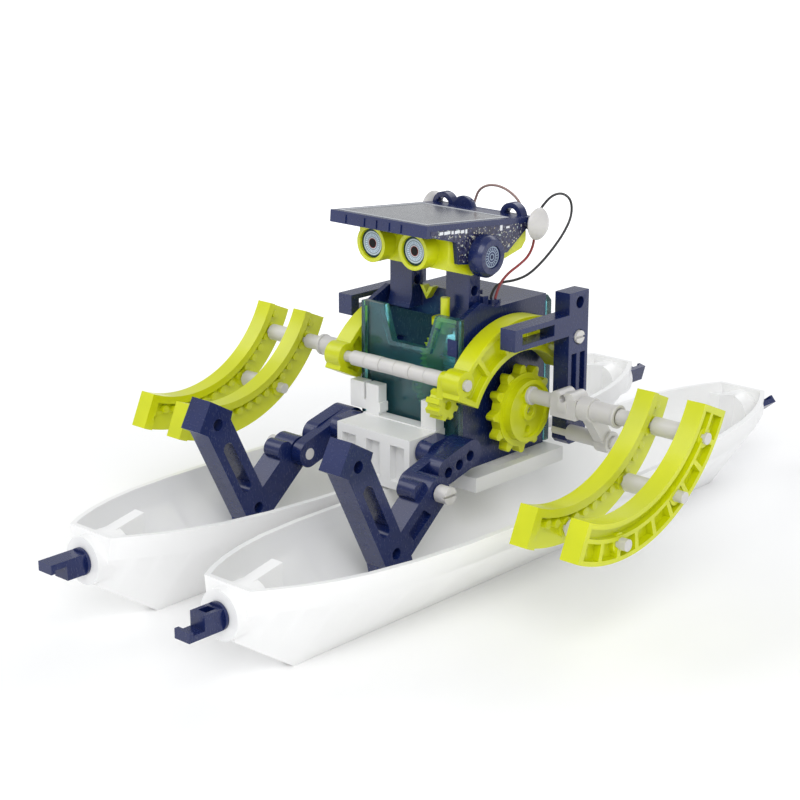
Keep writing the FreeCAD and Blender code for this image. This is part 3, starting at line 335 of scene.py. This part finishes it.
def add_mesh(name, build, material, body, smooth=True):
    """A new piece from a function that fills a bmesh, on a body and in a material slot."""
    mesh = bpy.data.meshes.new(name)
    work = bmesh.new()
    build(work)
    bmesh.ops.recalc_face_normals(work, faces=work.faces)
    work.to_mesh(mesh)
    work.free()
    mesh.materials.append(material)
    for polygon in mesh.polygons:
        polygon.use_smooth = smooth
    item = bpy.data.objects.new(name, mesh)
    bpy.context.scene.collection.objects.link(item)
    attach(item, body)


def disc_profile(work, centre, axis, profile):
    """Turns a profile of (radius, height) pairs in mm about an axis through centre."""
    direction = Vector(axis)
    side = direction.orthogonal().normalized()
    up = direction.cross(side)
    loops = []
    for radius, height in profile:
        loop = []
        for step in range(DISC_SEGMENTS):
            angle = 2 * math.pi * step / DISC_SEGMENTS
            offset = (side * math.cos(angle) + up * math.sin(angle)) * radius * MM
            loop.append(work.verts.new(centre + offset + direction * height * MM))
        loops.append(loop)
    for lower, upper in zip(loops, loops[1:]):
        for i in range(DISC_SEGMENTS):
            j = (i + 1) % DISC_SEGMENTS
            work.faces.new((lower[i], lower[j], upper[j], upper[i]))
    work.faces.new(loops[0][::-1])
    work.faces.new(loops[-1])


def box(work, low, high, turn=None):
    """A block between two corners in mm, optionally moved by a matrix in metres."""
    corners = [Vector((x, y, z)) * MM for x in (low[0], high[0]) for y in (low[1], high[1])
               for z in (low[2], high[2])]
    verts = [work.verts.new(turn @ corner if turn else corner) for corner in corners]
    for quad in ((0, 1, 3, 2), (4, 6, 7, 5), (0, 4, 5, 1), (2, 3, 7, 6), (0, 2, 6, 4), (1, 5, 7, 3)):
        work.faces.new([verts[i] for i in quad])


# ---------------------------------------------------------------- eye and ear stickers

EYE_RADIUS = 4.3
EAR_RADIUS = 3.2
EAR_Y, EAR_Z = -11.2, 96.9
# Each ring is its outer radius in mm and its colour, from the centre out.
EYE_RINGS = [(1.3, (0.003, 0.002, 0.003)), (1.5, (0.26, 0.02, 0.015)), (1.75, (0.62, 0.66, 0.70)),
             (2.0, (0.22, 0.27, 0.33)), (2.9, (0.60, 0.70, 0.80)), (3.15, (0.18, 0.25, 0.30)),
             (3.6, (0.55, 0.64, 0.72)), (EYE_RADIUS, (0.015, 0.045, 0.045))]
EAR_RINGS = [(0.7, (0.02, 0.025, 0.07)), (1.0, (0.34, 0.42, 0.54)), (1.5, (0.02, 0.025, 0.09)),
             (1.75, (0.38, 0.47, 0.58)), (2.75, (0.025, 0.03, 0.10)),
             (EAR_RADIUS, (0.36, 0.44, 0.55))]


def sticker_profile(radius):
    """A thin disc that starts just inside its seat, with a bevelled rim."""
    return [(radius, -0.02), (radius, 0.1), (radius - 0.15, 0.16)]


def add_round_stickers():
    for side, name in ((1, "left"), (-1, "right")):
        eye = Vector((side * 8.3, -28.1, 99.2)) * MM
        ink = rings("eye_print_" + name, eye, 1, EYE_RINGS, 26, (2.1, 2.8), (0.25, 0.36, 0.45))
        add_mesh("eye_sticker_" + name, lambda work: disc_profile(
            work, eye, (0, -1, 0), sticker_profile(EYE_RADIUS)), ink, "root")
        ear = Vector((side * 23.1, EAR_Y, EAR_Z)) * MM
        ink = rings("ear_print_" + name, ear, 0, EAR_RINGS, 18, (1.9, 2.6), (0.36, 0.44, 0.55))
        add_mesh("ear_sticker_" + name, lambda work: disc_profile(
            work, ear, (side, 0, 0), sticker_profile(EAR_RADIUS)), ink, "ear_" + name)


add_round_stickers()


# ---------------------------------------------------------------- tray: side stickers, panel, lip

# The tray's front lip, and its nose-up tilt.
TRAY_TURN = Matrix.Translation(Vector((0, -34.9, 108.9)) * MM) @ Matrix.Rotation(
    math.radians(-4.9), 4, "X")
# Outline of a side sticker as Y, Z: up the front to the ear's hole, and from the hole back.
SIDE_FRONT = [(-33.4, 107.1), (-33.4, 105.8), (-22, 102.5), (-20.9, 96.2), (-14.2, 95.1), (-12.93, 95.2)]
SIDE_REAR = [(-9.47, 95.5), (1.1, 96.4), (9.8, 102.1), (9.8, 103.4)]
SKIRT_FACE = 19.01
STICKER_THICK = 0.08
SPINDLE_HOLE = 2


def side_sticker(work, side):
    """A thin plate on the skirt with a round hole where the ear's spindle turns."""
    hole = [(EAR_Y + SPINDLE_HOLE * math.cos(math.radians(a)),
             EAR_Z + SPINDLE_HOLE * math.sin(math.radians(a))) for a in range(210, -31, -15)]
    outline = SIDE_FRONT + hole + SIDE_REAR
    verts = [work.verts.new(Vector((side * SKIRT_FACE, y, z)) * MM) for y, z in outline]
    edges = [work.edges.new((a, b)) for a, b in zip(verts, verts[1:] + verts[:1])]
    bmesh.ops.triangle_fill(work, edges=edges, use_beauty=True)
    grown = bmesh.ops.extrude_face_region(work, geom=work.faces[:] + edges)["geom"]
    moved = [piece for piece in grown if isinstance(piece, bmesh.types.BMVert)]
    bmesh.ops.translate(work, verts=moved, vec=(side * STICKER_THICK * MM, 0, 0))


def printed_bars(work, side):
    """A plain row of printed bars at the front, and two more at the back, along the skirt's slope."""
    for start, width, height in ((-29.6, 1.5, 0.9), (-27.6, 2.6, 0.9), (-24.5, 1, 0.9), (-23, 2.2, 0.9),
                                 (-20.3, 1.4, 0.9), (-18.4, 0.9, 1.2), (-2.6, 1.1, 1.6), (0.2, 1.6, 0.6)):
        low, high = sorted((side * 19.08, side * 19.13))
        base = 105.9 - 0.0857 * (start + 29.6)
        box(work, (low, start, base - height / 2), (high, start + width, base + height / 2))


def bezel(work):
    """Foil border round the panel."""
    half, front, back, wide, low, high = 17.2, 1.75, 38.95, 0.9, 0.005, 0.12
    box(work, (-half, front, low), (half, front + wide, high), TRAY_TURN)
    box(work, (-half, back - wide, low), (half, back, high), TRAY_TURN)
    for side in (-1, 1):
        near, far = sorted((side * half, side * (half - wide)))
        box(work, (near, front + wide, low), (far, back - wide, high), TRAY_TURN)


def lip_ribs(work):
    """Short ribs down the front of the lip, at uneven distances."""
    for x in (-13, -5.6, -0.8, 4.2, 8.8):
        box(work, (x, -0.35, -3.3), (x + 0.55, 0.02, -0.9), TRAY_TURN)


for side, name in ((1, "left"), (-1, "right")):
    add_mesh("side_sticker_" + name, lambda work: side_sticker(work, side), CIRCUIT, "root",
             False)
    add_mesh("side_print_" + name, lambda work: printed_bars(work, side), PRINT, "root",
             False)
add_mesh("panel_bezel", bezel, SILVER, "root", False)
add_mesh("lip_ribs", lip_ribs, NAVY, "root", False)
add_mesh("cover_catch", lambda work: box(work, (15.6, -21.85, 68), (19.2, -21.42, 73)), NAVY, "root",
         False)


# ---------------------------------------------------------------- wires

BLACK_ROUTE = [(13.2, 0.7, 81), (13.3, 1.7, 83.8), (14.2, 4.6, 85.3), (15.4, 9.2, 85.2),
               (16.6, 14.2, 86.2), (17.2, 19.9, 89.2), (17.4, 25.6, 93), (17.2, 31, 97),
               (17, 34.8, 101.4), (17, 34.6, 106.4), (17.2, 30, 109.4), (17.4, 24.4, 109.6),
               (17.4, 19.6, 107), (17.4, 16.4, 103.8), (17.4, 13.57, 102.9)]
RED_ROUTE = [(14.9, 0.7, 81), (15.1, 1.9, 84.8), (15.6, 5.6, 88), (16, 10.4, 89.8), (16.2, 15, 92),
             (16, 17.8, 96), (15.6, 17.6, 100.2), (15.4, 15.8, 102.8), (15.4, 13.57, 103.2)]
LOOP_ROUTE = [(-7, 13.57, 103), (-7, 15.6, 103.2), (-6.8, 16.6, 106), (-5, 16.2, 109.6),
              (-0.6, 15.6, 111.8), (4.8, 15.6, 111.8), (9.8, 16, 109.4), (12, 16.6, 106),
              (12.2, 15.6, 103.2), (12.2, 13.57, 103)]
WIRE_DIAMETER = 0.0008


def wire(name, route, material):
    """One insulated wire as a smooth curve led by its route, whose points are in mm."""
    curve = bpy.data.curves.new(name, "CURVE")
    curve.dimensions = "3D"
    curve.bevel_depth = WIRE_DIAMETER / 2
    curve.bevel_resolution = 6
    curve.resolution_u = 16
    curve.use_fill_caps = True
    spline = curve.splines.new("NURBS")
    spline.points.add(len(route) - 1)
    for point, place in zip(spline.points, route):
        point.co = (*(value * MM for value in place), 1)
    spline.order_u = 3
    spline.use_endpoint_u = True
    curve.materials.append(material)
    item = bpy.data.objects.new(name + "_run", curve)
    bpy.context.scene.collection.objects.link(item)
    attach(item, "root")
    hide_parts(name)


wire("wire_black", BLACK_ROUTE, BLACK)
wire("wire_red", RED_ROUTE, RED)
wire("wire_loop", LOOP_ROUTE, FADED_RED)


# ---------------------------------------------------------------- studio and camera

def add_floor():
    """A white floor whose own glow grows with distance, so that only the near part takes shadows."""
    mesh = bpy.data.meshes.new("floor")
    reach = 14
    corners = [(-reach, -reach, 0), (reach, -reach, 0), (reach, reach, 0), (-reach, reach, 0)]
    mesh.from_pydata(corners, [], [(0, 1, 2, 3)])
    material, tree, shader = new_material("floor")
    tone = spread(tree, noise(tree, 3, 2), 0, 1)
    tree.links.new(blend_colours(tree, tone, (0.90, 0.90, 0.905), (0.92, 0.92, 0.92)),
                   shader.inputs["Base Color"])
    shader.inputs["Roughness"].default_value = 0.7
    shader.inputs["Emission Color"].default_value = (1, 1, 1, 1)
    away = tree.nodes.new("ShaderNodeVectorMath")
    away.operation = "LENGTH"
    tree.links.new(coordinates(tree), away.inputs[0])
    glow = spread(tree, away.outputs["Value"], 0.1, 0.6, 0.16, 0.55)
    tree.links.new(glow, shader.inputs["Emission Strength"])
    mesh.materials.append(material)
    floor = bpy.data.objects.new("floor", mesh)
    bpy.context.scene.collection.objects.link(floor)


def add_area(name, place, target, size, power):
    """A rectangular lamp at a place, turned towards a target."""
    light = bpy.data.lights.new(name, "AREA")
    light.shape = "RECTANGLE"
    light.size = size[0]
    light.size_y = size[1]
    light.energy = power
    item = bpy.data.objects.new(name, light)
    item.location = place
    item.rotation_euler = (Vector(target) - Vector(place)).to_track_quat("-Z", "Y").to_euler()
    bpy.context.scene.collection.objects.link(item)


def add_studio():
    world = bpy.data.worlds.new("studio")
    bpy.context.scene.world = world
    world.use_nodes = True
    background = world.node_tree.nodes["Background"]
    background.inputs["Color"].default_value = (0.97, 0.985, 1, 1)
    background.inputs["Strength"].default_value = 0.6
    middle = (0, 0, 0.05)
    add_area("key", (0.75, -0.75, 0.95), middle, (0.8, 0.8), 8)
    add_area("far", (-0.8, -0.5, 0.9), middle, (0.7, 0.7), 3)
    add_area("back", (-0.2, 1.1, 0.9), middle, (1.0, 0.5), 3)


def add_camera():
    """Seen from the robot's front left, a little above the deck."""
    azimuth, elevation, distance = math.radians(42.4), math.radians(16.8), 0.662
    target = Vector((-0.0669, 0.0479, 0.022))
    back = Vector((math.sin(azimuth) * math.cos(elevation), -math.cos(azimuth) * math.cos(elevation),
                   math.sin(elevation)))
    data = bpy.data.cameras.new("camera")
    data.lens = 83.7
    data.sensor_width = 36
    data.clip_start = 0.01
    camera = bpy.data.objects.new("camera", data)
    camera.location = target + back * distance
    camera.rotation_euler = back.to_track_quat("Z", "Y").to_euler()
    bpy.context.scene.collection.objects.link(camera)
    bpy.context.scene.camera = camera


add_floor()
add_studio()
add_camera()
bpy.context.scene.view_settings.view_transform = "Standard"
